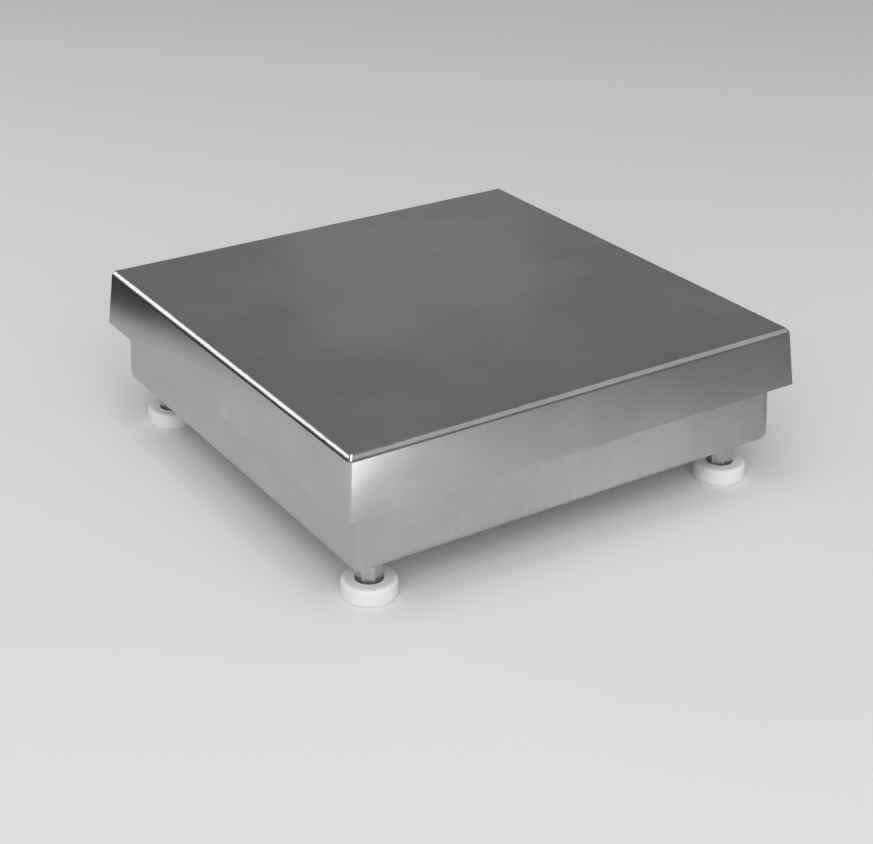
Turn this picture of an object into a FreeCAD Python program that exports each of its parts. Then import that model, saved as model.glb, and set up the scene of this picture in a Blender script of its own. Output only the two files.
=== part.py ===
"""Static checkweigher base: a lift-off stainless platter over a pan that holds a single-point load cell."""
import FreeCAD
import Part
import math
import os

from FreeCAD import Vector

# Driving dimensions, in millimetres

# Platter, the lift-off top tray
platter_side = 305.0
platter_skirt_height = 36.9
platter_skirt_splay = 3.8
platter_sheet = 1.5
platter_top_bend = 4.8
platter_corner_radius = 1.8

# Hat channels under the platter, and the angles that locate it on the deck
stiffener_width = 36.0
stiffener_height = 6.0
stiffener_length = 250.0
stiffener_brim = 9.0
stiffener_pitch = 104.0
stiffener_sheet = 1.2
stiffener_lean = 1.8
stiffener_bend = 1.8
locator_leg = 16.0
locator_drop = 16.0
locator_sheet = 1.5
locator_play = 1.2
locator_corner = 1.5

# Pan, the lower tray that carries everything
pan_side = 295.6
pan_sheet = 1.5
pan_wall_height = 58.8
pan_bend_radius = 5.5
pan_corner_radius_low = 10.5
pan_corner_radius_high = 3.5
pan_rim_width = 9.5
pan_rim_bend = 3.0

# Feet: 5/16-18 stud, half-inch hex, white moulded pad
foot_pitch = 255.4
foot_pad_diameter = 32.2
foot_pad_height = 10.5
foot_pad_edge = 2.4
foot_pad_base_edge = 0.6
foot_pad_floor = 3.0
foot_recess_diameter = 16.2
foot_recess_chamfer = 0.5
foot_neck_diameter = 6.0
foot_button_diameter = 8.0
foot_button_height = 0.9
foot_button_low = 0.9
foot_running_gap = 0.1
foot_stand = 16.7
hex_across_flats = 12.7
foot_hex_length = 17.5
foot_thread_diameter = 7.94
foot_thread_length = 30.0
foot_thread_chamfer = 0.8
thread_clearance = 0.05
foot_hole_clearance = 0.5
lock_nut_height = 4.76
lock_nut_turn = 12.0
bush_flange_diameter = 13.5
bush_neck_diameter = 12.0
bush_proud = 1.0

# How far round each foot's hexagon was left by levelling, in degrees
foot_turns = {"front_left": 24.0, "front_right": 8.0, "rear_left": 40.0, "rear_right": 15.0}

# Base frame, folded channels on the pan's floor
frame_sheet = 2.5
frame_bend = 4.0
frame_height = 12.0
rail_width = 33.0
rail_centre = 123.5
rail_length = 280.0
crossmember_width = 36.0

# Load cell, a single-point binocular beam
cell_length = 130.0
cell_width = 30.0
cell_height = 22.0
cell_edge = 0.6
cell_bore_diameter = 17.6
cell_bore_pitch = 30.0
cell_slot_height = 8.0
cell_bolt_end = 10.0
cell_bolt_pitch = 20.0
cell_bolt_diameter = 6.0
cell_bolt_flats = 10.0
cell_bolt_head = 4.0
cell_bolt_chamfer = 0.6
cell_hole_depth = 12.0
cell_hole_spare = 1.0
cell_spacer_length = 38.0
base_spacer_height = 3.0
top_spacer_height = 6.0
bolt_play = 0.3
gauge_coat_margin = 4.0
gauge_coat_width = 16.0
gauge_coat_height = 0.8

# Deck frame, folded channels on the cell's live end
deck_sheet = 2.5
deck_bend = 4.0
spine_width = 34.0
spine_height = 18.0
crossbar_width = 30.0
crossbar_height = 21.0
crossbar_end_height = 10.0
crossbar_end_margin = 14.0
crossbar_level_half = 32.0
crossbar_pitch = 236.0
relief_diameter = 12.0
relief_pitch = 44.0

# Rubber bumpers that the platter rests on
bumper_diameter = 22.0
bumper_top_diameter = 18.0
bumper_height = 9.8
bumper_edge = 1.0
bumper_reach = 108.0
bumper_stud_diameter = 5.0
bumper_stud_length = 9.0
bumper_stud_chamfer = 0.5
bumper_nut_flats = 8.0
bumper_nut_height = 4.0

# Overload stops between the base rails and the deck crossbars
stop_gap = 0.8
stop_reach = 86.0
stop_thread_diameter = 8.0
stop_bolt_chamfer = 1.0
stop_floor_gap = 5.4
stop_head_flats = 13.0
stop_head_height = 5.3
stop_jam_height = 4.0
stop_weld_nut_height = 5.0
stop_nut_turn = 30.0

# Bubble level on a bracket at the rear right
level_bracket_sheet = 2.0
level_bracket_width = 28.0
level_bracket_reach = 6.0
level_bracket_corner = 3.0
level_reach = 90.0
level_rear = 50.0
level_diameter = 24.0
level_height = 8.5
level_bore_diameter = 18.0
level_bore_depth = 6.5
level_edge = 0.8
level_dome = 1.6
level_lens_seat = 0.4
level_screw_diameter = 4.0
level_screw_pitch = 14.0
level_screw_length = 6.0
level_screw_inset = 2.0
level_screw_head_diameter = 7.6
level_screw_head_height = 2.2
level_screw_head_edge = 1.6
level_screw_key_flats = 2.5
level_screw_key_depth = 1.4

# Signal socket, M12 thread, in the pan's rear wall
socket_offset = -20.0
socket_height = 19.5
socket_body_diameter = 16.0
socket_flange_diameter = 20.0
socket_flange_height = 2.0
socket_flange_chamfer = 0.6
socket_nose_diameter = 12.0
socket_nose_length = 7.4
socket_nose_chamfer = 0.5
socket_bore_diameter = 9.4
socket_inside_length = 11.0
socket_seal_height = 0.5
socket_nut_flats = 19.0
socket_nut_height = 3.5
socket_contact_diameter = 1.0
socket_contact_length = 4.8
socket_contact_root = 2.0
socket_contact_circle = 5.4
socket_contact_count = 4
socket_insert_back = 4.0
socket_insert_sink = 2.4
socket_hole_play = 0.25

# Inner lead from the cell to the socket
lead_diameter = 4.5
lead_gland_length = 8.0
lead_gland_hex_length = 3.6
lead_gland_taper = 1.0
lead_gland_height = 7.0
lead_gland_flats = 8.0
lead_fit = 0.05
clip_wall = 1.6
clip_length = 7.0
clip_foot = 9.0
clip_foot_height = 1.6
clip_foot_corner = 2.5
rivet_diameter = 3.0
rivet_head_diameter = 5.4
rivet_head_height = 1.2
rivet_head_edge = 0.8

# General
overrun = 1.0
near = 0.1
exact = 1e-6
nut_chamfer_angle = 30.0
arc_share = 0.45

# Heights above the floor, worked up from the feet
pan_bottom = foot_pad_height + foot_stand
pan_floor = pan_bottom + pan_sheet
pan_rim = pan_bottom + pan_wall_height
frame_top = pan_floor + frame_height
cell_bottom = frame_top + base_spacer_height
cell_top = cell_bottom + cell_height
spine_bottom = cell_top + top_spacer_height
crossbar_top = spine_bottom + crossbar_height
platter_underside = crossbar_top + bumper_height
platter_top = platter_underside + platter_sheet

foot_hex_low = foot_pad_floor + foot_running_gap / 2
foot_hex_high = foot_hex_low + foot_hex_length

# Lengths that follow from what a piece spans
crossbar_length = 2 * (bumper_reach + crossbar_end_margin)
gauge_coat_length = cell_length - 2 * (cell_spacer_length + gauge_coat_margin)

right = Vector(1, 0, 0)
back = Vector(0, 1, 0)
up = Vector(0, 0, 1)


# General shapes

def block(x, y, z):
    """A box from three (low, high) pairs."""
    return Part.makeBox(x[1] - x[0], y[1] - y[0], z[1] - z[0], Vector(x[0], y[0], z[0]))


def disc(diameter, height, base, axis=up):
    return Part.makeCylinder(diameter / 2, height, base, axis)


def drill(diameter, x, y, low, high):
    """A round cutter along Z that runs past both faces of what it cuts."""
    return disc(diameter, high - low + 2 * overrun, Vector(x, y, low - overrun))


def hexagon(flats, height, base, axis=up, turn=0.0):
    """A hexagonal prism by its size across flats."""
    corner = flats / math.sqrt(3)
    points = []
    for side in range(7):
        angle = math.radians(60 * side + turn)
        points.append(Vector(corner * math.cos(angle), corner * math.sin(angle), 0))
    prism = Part.Face(Part.makePolygon(points)).extrude(up * height)
    prism.Placement = FreeCAD.Placement(base, FreeCAD.Rotation(up, axis))
    return prism


def chamfered_hexagon(flats, height, base, axis=up, turn=0.0, both=True):
    """A hexagon whose corners are turned off to a cone, as on a nut or a bolt head."""
    corner = flats / math.sqrt(3)
    drop = (corner - flats / 2) * math.tan(math.radians(nut_chamfer_angle))
    profile = [Vector(0, 0, 0)]
    if both:
        profile += [Vector(flats / 2, 0, 0), Vector(corner, 0, drop)]
    else:
        profile += [Vector(corner, 0, 0)]
    profile += [Vector(corner, 0, height - drop), Vector(flats / 2, 0, height), Vector(0, 0, height)]
    profile.append(profile[0])
    cone = Part.Face(Part.makePolygon(profile)).revolve(Vector(0, 0, 0), up, 360)
    cone.Placement = FreeCAD.Placement(base, FreeCAD.Rotation(up, axis))
    return hexagon(flats, height, base, axis, turn).common(cone)


def nut(flats, height, bore, base, axis=up, turn=0.0):
    return chamfered_hexagon(flats, height, base, axis, turn).cut(disc(bore, height, base, axis))


def edges_along(shape, direction, test=None):
    """The straight edges of a shape that run along a direction, and pass a test of their middle."""
    found = []
    for edge in shape.Edges:
        if edge.Curve.TypeId != "Part::GeomLine":
            continue
        start, end = edge.Vertexes[0].Point, edge.Vertexes[-1].Point
        if (end - start).normalize().cross(direction).Length < exact:
            middle = (start + end) * 0.5
            if test is None or test(middle):
                found.append(edge)
    return found


def edges_level(shape, place, axis="Z"):
    """The edges of a shape that lie in one plane across an axis."""
    found = []
    for edge in shape.Edges:
        low = getattr(edge.BoundBox, axis + "Min")
        high = getattr(edge.BoundBox, axis + "Max")
        if abs(low - place) < exact and abs(high - place) < exact:
            found.append(edge)
    return found


def hex_bolt(flats, head, diameter, length, chamfer, seat, axis):
    """A hexagon bolt whose shank runs from its seat along the axis, and whose head stands behind."""
    shank = disc(diameter - 2 * thread_clearance, length, seat, axis)
    shank = shank.makeChamfer(chamfer, edges_level(shank, seat.z + axis.z * length))
    top = chamfered_hexagon(flats, head, seat, axis * -1, both=False)
    return top.fuse(shank).removeSplitter()


def four_corners(reach_x, reach_y):
    return [(sx * reach_x, sy * reach_y) for sx in (-1, 1) for sy in (-1, 1)]


def group(shapes):
    return Part.makeCompound(shapes)


# Platter

def splayed_block(half_top, z_low, z_high, splay, bend, corner):
    """A square block whose sides lean out downwards, with round top bends and tighter corners."""
    half_low = half_top + splay
    rings = []
    for half, z in ((half_low, z_low), (half_top, z_high)):
        points = [Vector(x, y, z) for x, y in ((-half, -half), (half, -half), (half, half), (-half, half))]
        rings.append(Part.makePolygon(points + points[:1]))
    solid = Part.makeLoft(rings, True, True)
    solid = solid.makeFillet(bend, edges_level(solid, z_high))
    leaning = [edge for edge in solid.Edges if edge.BoundBox.ZLength > near]
    return solid.makeFillet(corner, leaning)


def make_platter():
    lean = platter_skirt_splay / platter_skirt_height
    wall = platter_sheet * math.sqrt(1 + lean * lean)
    low = platter_top - platter_skirt_height
    half = platter_side / 2
    outer = splayed_block(
        half, low, platter_top, platter_skirt_splay,
        platter_top_bend, platter_corner_radius,
    )
    # The inner block starts at the sheet's underside and runs on past the skirt's lower edge.
    inner_half = half - wall + lean * platter_sheet
    inner_drop = platter_underside - low + overrun
    inner = splayed_block(
        inner_half, low - overrun, platter_underside, lean * inner_drop,
        platter_top_bend - platter_sheet, platter_corner_radius - platter_sheet,
    )
    return outer.cut(inner)


def make_stiffeners():
    """Two hat channels spot-welded under the platter, on each side of the middle."""
    hats = []
    for side in (-1, 1):
        x = side * stiffener_pitch / 2
        half = stiffener_width / 2
        crown = half - stiffener_brim
        slope = stiffener_lean
        low = platter_underside - stiffener_height
        brim = platter_underside - stiffener_sheet
        thick = stiffener_sheet
        outline = [
            (-half, platter_underside), (-half, brim), (-crown - thick, brim), (-crown - thick + slope, low),
            (crown + thick - slope, low), (crown + thick, brim), (half, brim), (half, platter_underside),
            (crown, platter_underside), (crown - slope, low + thick),
            (-crown + slope, low + thick), (-crown, platter_underside),
        ]
        points = [Vector(x + dx, -stiffener_length / 2, z) for dx, z in outline]
        hat = Part.Face(Part.makePolygon(points + points[:1])).extrude(back * stiffener_length)
        hats.append(hat.makeFillet(stiffener_bend, edges_along(hat, back, lambda p: p.z < low + near)))
    return group(hats)


def make_locators():
    """Four corner angles under the platter that drop outside the deck's crossbar ends."""
    angles = []
    reach_x = crossbar_pitch / 2 + crossbar_width / 2 + locator_play
    reach_y = crossbar_length / 2 + locator_play
    for sx in (-1, 1):
        for sy in (-1, 1):
            xs = sorted((sx * (reach_x - locator_leg), sx * (reach_x + locator_sheet)))
            ys = sorted((sy * reach_y, sy * (reach_y + locator_sheet)))
            low = platter_underside - locator_drop
            plate = block(xs, ys, (low, platter_underside))
            plate = plate.makeFillet(locator_corner, edges_along(plate, back, lambda p: p.z < low + near))
            xs = sorted((sx * reach_x, sx * (reach_x + locator_sheet)))
            ys = sorted((sy * (reach_y - locator_leg), sy * (reach_y + locator_sheet)))
            side = block(xs, ys, (low, platter_underside))
            side = side.makeFillet(locator_corner, edges_along(side, right, lambda p: p.z < low + near))
            angles.append(plate.fuse(side).removeSplitter())
    return group(angles)


# Pan

def tray_block(half, z_low, z_high, bend, corner_low, corner_high, top_bend):
    """A square block with corners that widen downwards, a round lower bend and a round top bend."""
    solid = block((-half, half), (-half, half), (z_low, z_high))
    for sx, sy in ((-1, -1), (1, -1), (1, 1), (-1, 1)):
        corner = edges_along(solid, up, lambda p: p.x * sx > half - near and p.y * sy > half - near)
        # OCC reads the two radii from the edge's first end to its last.
        rising = corner[0].Vertexes[0].Point.z < corner[0].Vertexes[-1].Point.z
        first, last = (corner_low, corner_high) if rising else (corner_high, corner_low)
        solid = solid.makeFillet(first, last, corner)
    solid = solid.makeFillet(bend, edges_level(solid, z_low))
    return solid.makeFillet(top_bend, edges_level(solid, z_high))


def make_pan():
    half = pan_side / 2
    outer = tray_block(
        half, pan_bottom, pan_rim, pan_bend_radius,
        pan_corner_radius_low, pan_corner_radius_high, pan_rim_bend,
    )
    inner = tray_block(
        half - pan_sheet, pan_floor, pan_rim - pan_sheet, pan_bend_radius - pan_sheet,
        pan_corner_radius_low - pan_sheet, pan_corner_radius_high - pan_sheet, pan_rim_bend - pan_sheet,
    )
    mouth_half = half - pan_rim_width
    mouth_z = (pan_rim - pan_sheet - overrun, pan_rim + overrun)
    mouth = block((-mouth_half, mouth_half), (-mouth_half, mouth_half), mouth_z)
    mouth = mouth.makeFillet(pan_corner_radius_high, edges_along(mouth, up))
    pan = outer.cut(inner).cut(mouth)
    for x, y in four_corners(foot_pitch / 2, foot_pitch / 2):
        pan = pan.cut(drill(foot_thread_diameter + 2 * foot_hole_clearance, x, y, pan_bottom, pan_floor))
    bore = socket_body_diameter + 2 * socket_hole_play
    return pan.cut(disc(bore, pan_sheet + 2 * overrun, socket_point(-pan_sheet - overrun), back))


# Base frame

def channel(width, height, length, sheet, bend, along_x):
    """A folded channel, open below, centred on the origin with its foot at z = 0."""
    size_x, size_y = (length, width) if along_x else (width, length)
    direction = right if along_x else back
    outer = block((-size_x / 2, size_x / 2), (-size_y / 2, size_y / 2), (0, height))
    outer = outer.makeFillet(bend, edges_along(outer, direction, lambda p: p.z > height - near))
    long, wide = length + 2 * overrun, width - 2 * sheet
    size_x, size_y = (long, wide) if along_x else (wide, long)
    web = height - sheet
    inner = block((-size_x / 2, size_x / 2), (-size_y / 2, size_y / 2), (-overrun, web))
    inner = inner.makeFillet(bend - sheet, edges_along(inner, direction, lambda p: p.z > web - near))
    return outer.cut(inner)


def make_rail(side):
    rail = channel(rail_width, frame_height, rail_length, frame_sheet, frame_bend, False)
    rail.translate(Vector(side * rail_centre, 0, pan_floor))
    holes = []
    for sy in (-1, 1):
        holes.append((bush_neck_diameter, side * foot_pitch / 2, sy * foot_pitch / 2))
        holes.append((stop_thread_diameter + 2 * bolt_play, side * crossbar_pitch / 2, sy * stop_reach))
    if side > 0:
        holes += [(level_screw_diameter, x, y) for x, y in level_screw_places()]
    for diameter, x, y in holes:
        rail = rail.cut(drill(diameter, x, y, pan_floor, frame_top))
    return rail


def cell_bolt_places(side):
    outer = cell_length / 2 - cell_bolt_end
    return [side * outer, side * (outer - cell_bolt_pitch)]


def make_crossmember():
    length = 2 * rail_centre - rail_width
    bar = channel(crossmember_width, frame_height, length, frame_sheet, frame_bend, True)
    bar.translate(Vector(0, 0, pan_floor))
    for x in cell_bolt_places(-1):
        bar = bar.cut(drill(cell_bolt_diameter + 2 * bolt_play, x, 0, pan_floor, frame_top))
    return bar


def make_foot_bushes():
    """Weld bushes with the feet's thread, flange on the pan's floor and neck through the rail."""
    bushes = []
    web = frame_height - frame_sheet
    for x, y in four_corners(foot_pitch / 2, foot_pitch / 2):
        base = Vector(x, y, pan_floor)
        bush = disc(bush_flange_diameter, web, base)
        bush = bush.fuse(disc(bush_neck_diameter, frame_height + bush_proud, base)).removeSplitter()
        bore = foot_thread_diameter + 2 * thread_clearance
        bushes.append(bush.cut(drill(bore, x, y, pan_floor, frame_top + bush_proud)))
    return group(bushes)


def make_foot_lock_nuts():
    nuts = []
    bore = foot_thread_diameter + 2 * thread_clearance
    for x, y in four_corners(foot_pitch / 2, foot_pitch / 2):
        base = Vector(x, y, pan_bottom - lock_nut_height)
        nuts.append(nut(hex_across_flats, lock_nut_height, bore, base, turn=lock_nut_turn))
    return group(nuts)


# Load cell and what clamps it

def make_load_cell():
    """The beam: two end blocks joined by four thin webs, left by a dumb-bell cut through the side."""
    half, wide = cell_length / 2, cell_width / 2
    beam = block((-half, half), (-wide, wide), (cell_bottom, cell_top))
    beam = beam.makeChamfer(cell_edge, edges_along(beam, up) + edges_along(beam, right))
    middle = (cell_bottom + cell_top) / 2
    reach = cell_bore_pitch / 2
    through = (-wide - overrun, wide + overrun)
    for x in (-reach, reach):
        start = Vector(x, through[0], middle)
        beam = beam.cut(disc(cell_bore_diameter, through[1] - through[0], start, back))
    slot_half = cell_slot_height / 2
    beam = beam.cut(block((-reach, reach), through, (middle - slot_half, middle + slot_half)))
    for x in cell_bolt_places(-1):
        beam = beam.cut(disc(cell_bolt_diameter, cell_hole_depth, Vector(x, 0, cell_bottom)))
    for x in cell_bolt_places(1):
        beam = beam.cut(disc(cell_bolt_diameter, cell_hole_depth, Vector(x, 0, cell_top - cell_hole_depth)))
    return beam


def make_gauge_coats():
    """Soft coats over the strain gauges, above and below the thin webs."""
    coats = []
    half, wide = gauge_coat_length / 2, gauge_coat_width / 2
    for low in (cell_top, cell_bottom - gauge_coat_height):
        coat = block((-half, half), (-wide, wide), (low, low + gauge_coat_height))
        coats.append(coat.makeFillet(wide / 2, edges_along(coat, up)))
    return group(coats)


def make_cell_spacer(side, low, height):
    end = side * cell_length / 2
    xs = sorted((end, end - side * cell_spacer_length))
    spacer = block(xs, (-cell_width / 2, cell_width / 2), (low, low + height))
    spacer = spacer.makeChamfer(cell_edge, edges_along(spacer, up))
    for x in cell_bolt_places(side):
        spacer = spacer.cut(drill(cell_bolt_diameter + 2 * bolt_play, x, 0, low, low + height))
    return spacer


def make_cell_bolts(side, seat, axis):
    """Two bolts that clamp one end of the cell, heads on a seat and shanks along the axis."""
    grip = frame_sheet + base_spacer_height if side < 0 else deck_sheet + top_spacer_height
    length = grip + cell_hole_depth - cell_hole_spare
    bolts = []
    for x in cell_bolt_places(side):
        bolt = hex_bolt(
            cell_bolt_flats, cell_bolt_head, cell_bolt_diameter, length, cell_bolt_chamfer,
            Vector(x, 0, seat), axis,
        )
        bolts.append(bolt)
    return group(bolts)


# Deck frame

def make_spine():
    """The channel on the cell's live end, open above, between the two crossbars."""
    length = crossbar_pitch - crossbar_width
    spine = channel(spine_width, spine_height, length, deck_sheet, deck_bend, True)
    spine.rotate(Vector(0, 0, 0), right, 180)
    spine.translate(Vector(0, 0, spine_bottom + spine_height))
    holes = [(cell_bolt_diameter + 2 * bolt_play, x) for x in cell_bolt_places(1)]
    # The lightening holes stay on the side away from the bolts.
    holes += [(relief_diameter, -index * relief_pitch) for index in range(3)]
    for diameter, x in holes:
        spine = spine.cut(drill(diameter, x, 0, spine_bottom, spine_bottom + deck_sheet))
    return spine


def make_crossbar(side):
    """A folded crossbar, open below, whose flanges taper from the spine to the ends."""
    half = crossbar_length / 2
    low = crossbar_top - crossbar_height
    end = crossbar_top - crossbar_end_height
    level = crossbar_level_half
    outline = [
        (-half, crossbar_top), (half, crossbar_top), (half, end),
        (level, low), (-level, low), (-half, end),
    ]
    x = side * crossbar_pitch / 2
    left = x - crossbar_width / 2
    web = crossbar_top - deck_sheet
    points = [Vector(left, y, z) for y, z in outline]
    bar = Part.Face(Part.makePolygon(points + points[:1])).extrude(right * crossbar_width)
    bar = bar.makeFillet(deck_bend, edges_along(bar, back, lambda p: p.z > crossbar_top - near))
    core = block(
        (left + deck_sheet, left + crossbar_width - deck_sheet), (-half - overrun, half + overrun),
        (low - overrun, web),
    )
    core = core.makeFillet(deck_bend - deck_sheet, edges_along(core, back, lambda p: p.z > web - near))
    bar = bar.cut(core)
    holes = [(bumper_stud_diameter + 2 * bolt_play, sy * bumper_reach) for sy in (-1, 1)]
    holes += [(relief_diameter, place * relief_pitch) for place in (-1, 0, 1)]
    for diameter, y in holes:
        bar = bar.cut(drill(diameter, x, y, web, crossbar_top))
    return bar


def bumper_places():
    return four_corners(crossbar_pitch / 2, bumper_reach)


def make_bumpers():
    bumpers = []
    for x, y in bumper_places():
        base = Vector(x, y, crossbar_top)
        cone = Part.makeCone(bumper_diameter / 2, bumper_top_diameter / 2, bumper_height, base)
        bumpers.append(cone.makeFillet(bumper_edge, edges_level(cone, crossbar_top + bumper_height)))
    return group(bumpers)


def make_bumper_studs():
    studs = []
    for x, y in bumper_places():
        base = Vector(x, y, crossbar_top - bumper_stud_length)
        stud = disc(bumper_stud_diameter - 2 * thread_clearance, bumper_stud_length, base)
        studs.append(stud.makeChamfer(bumper_stud_chamfer, edges_level(stud, base.z)))
    return group(studs)


def make_bumper_nuts():
    nuts = []
    for x, y in bumper_places():
        base = Vector(x, y, crossbar_top - deck_sheet - bumper_nut_height)
        nuts.append(nut(bumper_nut_flats, bumper_nut_height, bumper_stud_diameter, base))
    return group(nuts)


# Overload stops

def stop_places():
    return four_corners(crossbar_pitch / 2, stop_reach)


def make_stop_bolts():
    """Four bolts through the base rails, whose heads stand a small gap under the crossbars."""
    seat = crossbar_top - deck_sheet - stop_gap - stop_head_height
    length = seat - pan_floor - stop_floor_gap
    bolts = []
    for x, y in stop_places():
        bolt = hex_bolt(
            stop_head_flats, stop_head_height, stop_thread_diameter, length, stop_bolt_chamfer,
            Vector(x, y, seat), up * -1,
        )
        bolts.append(bolt)
    return group(bolts)


def make_stop_nuts(height, low):
    nuts = []
    for x, y in stop_places():
        nuts.append(nut(stop_head_flats, height, stop_thread_diameter, Vector(x, y, low), turn=stop_nut_turn))
    return group(nuts)


# Bubble level

def level_screw_places():
    x = rail_centre - level_screw_inset
    return [(x, level_rear - level_screw_pitch / 2), (x, level_rear + level_screw_pitch / 2)]


def make_level_bracket():
    half = level_bracket_width / 2
    tongue = block(
        (level_reach, rail_centre + level_bracket_reach), (level_rear - half, level_rear + half),
        (frame_top, frame_top + level_bracket_sheet),
    )
    tongue = tongue.makeFillet(level_bracket_corner, edges_along(tongue, up, lambda p: p.x > rail_centre))
    end = disc(level_bracket_width, level_bracket_sheet, Vector(level_reach, level_rear, frame_top))
    bracket = tongue.fuse(end).removeSplitter()
    for x, y in level_screw_places():
        hole = level_screw_diameter + 2 * bolt_play
        bracket = bracket.cut(drill(hole, x, y, frame_top, frame_top + level_bracket_sheet))
    return bracket


def make_level_cup():
    base = Vector(level_reach, level_rear, frame_top + level_bracket_sheet)
    cup = disc(level_diameter, level_height, base)
    cup = cup.makeFillet(level_edge, edges_level(cup, base.z + level_height))
    low = base.z + level_height - level_bore_depth
    return cup.cut(disc(level_bore_diameter, level_bore_depth, Vector(base.x, base.y, low)))


def make_level_lens():
    """The clear vial: a disc with a domed top that fills the cup."""
    top = frame_top + level_bracket_sheet + level_height
    low = top - level_bore_depth + thread_clearance
    radius = level_bore_diameter / 2 - thread_clearance
    shoulder = top - level_lens_seat
    axis = Vector(level_reach, level_rear, 0)
    points = [Vector(0, 0, low), Vector(radius, 0, low), Vector(radius, 0, shoulder)]
    lines = [Part.LineSegment(points[0], points[1]), Part.LineSegment(points[1], points[2])]
    crown = Vector(0, 0, shoulder + level_dome)
    # The dome's middle point lies on the circle through the rim and the crown.
    sphere = (radius * radius + level_dome * level_dome) / (2 * level_dome)
    x = radius / 2
    z = crown.z - sphere + math.sqrt(sphere * sphere - x * x)
    lines.append(Part.Arc(points[2], Vector(x, 0, z), crown))
    lines.append(Part.LineSegment(crown, points[0]))
    wire = Part.Wire([line.toShape() for line in lines])
    lens = Part.Face(wire).revolve(Vector(0, 0, 0), up, 360)
    lens.translate(axis)
    return lens


def make_level_screws():
    """Two button-head screws with a hexagon key hole."""
    seat = frame_top + level_bracket_sheet
    crown = seat + level_screw_head_height
    screws = []
    for x, y in level_screw_places():
        head = disc(level_screw_head_diameter, level_screw_head_height, Vector(x, y, seat))
        head = head.makeFillet(level_screw_head_edge, edges_level(head, crown))
        low = Vector(x, y, seat - level_screw_length)
        shank = disc(level_screw_diameter - 2 * thread_clearance, level_screw_length, low)
        key_low = Vector(x, y, crown - level_screw_key_depth)
        key_hole = hexagon(level_screw_key_flats, level_screw_key_depth + overrun, key_low)
        screws.append(head.fuse(shank).removeSplitter().cut(key_hole))
    return group(screws)


# Signal socket

def socket_point(distance):
    """A point on the socket's axis, by its distance out from the pan's rear face."""
    return Vector(socket_offset, pan_side / 2 + distance, pan_bottom + socket_height)


def make_socket_shell():
    """The turned shell: a flange on the seal, a threaded nose outside and a threaded body inside."""
    flange = disc(socket_flange_diameter, socket_flange_height, socket_point(socket_seal_height), back)
    nose_base = socket_seal_height + socket_flange_height
    flange = flange.makeChamfer(socket_flange_chamfer, edges_level(flange, socket_point(nose_base).y, "Y"))
    nose_end = nose_base + socket_nose_length
    nose = disc(socket_nose_diameter, socket_nose_length, socket_point(nose_base), back)
    nose = nose.makeChamfer(socket_nose_chamfer, edges_level(nose, socket_point(nose_end).y, "Y"))
    inside = pan_sheet + socket_inside_length
    body = disc(socket_body_diameter, inside + socket_seal_height, socket_point(-inside), back)
    shell = flange.fuse(nose).fuse(body).removeSplitter()
    bore_length = inside + nose_end + 2 * overrun
    return shell.cut(disc(socket_bore_diameter, bore_length, socket_point(-inside - overrun), back))


def make_socket_seal():
    seal = disc(socket_flange_diameter, socket_seal_height, socket_point(0), back)
    return seal.cut(disc(socket_body_diameter, socket_seal_height, socket_point(0), back))


def make_socket_nut():
    base = socket_point(-pan_sheet - socket_nut_height)
    return nut(socket_nut_flats, socket_nut_height, socket_body_diameter + 2 * thread_clearance, base, back)


def make_socket_insert():
    """The moulded insert that holds the contacts, with its cup behind for the lead."""
    face = insert_face()
    rear = -pan_sheet - socket_inside_length - socket_insert_back
    insert = disc(socket_bore_diameter - 2 * thread_clearance, face - rear, socket_point(rear), back)
    hole = lead_diameter + 2 * lead_fit
    insert = insert.cut(disc(hole, socket_insert_back, socket_point(rear), back))
    for place in contact_places():
        bore = socket_contact_diameter + 2 * thread_clearance
        insert = insert.cut(disc(bore, socket_contact_root + overrun, place, back))
    return insert


def insert_face():
    """How far the insert's front face lies out from the pan's rear face."""
    return socket_seal_height + socket_flange_height - socket_insert_sink


def contact_places():
    """The inner ends of the contacts, evenly spaced on their circle and clear of the key's line."""
    radius = socket_contact_circle / 2
    root = socket_point(insert_face() - socket_contact_root)
    places = []
    for index in range(socket_contact_count):
        angle = 2 * math.pi * (index + 0.5) / socket_contact_count
        places.append(root + Vector(radius * math.cos(angle), 0, radius * math.sin(angle)))
    return places


def make_socket_contacts():
    pins = []
    for place in contact_places():
        pins.append(disc(socket_contact_diameter, socket_contact_length, place, back))
    return group(pins)


# Inner lead, clipped to the pan's floor

def lead_route():
    """Points of the lead from the cell's fixed end to the socket's back."""
    start_x = -cell_length / 2 - lead_gland_length
    start_z = cell_bottom + lead_gland_height
    rail_x = rail_width / 2 - rail_centre
    floor_z = pan_floor + clip_foot_height + lead_diameter / 2
    rear = socket_point(-pan_sheet - socket_inside_length)
    return [
        Vector(start_x, 0, start_z),
        Vector(start_x - 14, 0, start_z),
        Vector(rail_x + 9, 8, start_z - 3),
        Vector(rail_x + 4, 26, start_z - 10),
        Vector(rail_x + 8, 48, floor_z),
        Vector(rail_x + 31, 78, floor_z),
        Vector(rail_x + 61, 86, floor_z + 3),
        Vector(rear.x - 7, rear.y - 32, rear.z - 6),
        Vector(rear.x, rear.y - 15, rear.z),
        rear,
    ]


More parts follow.
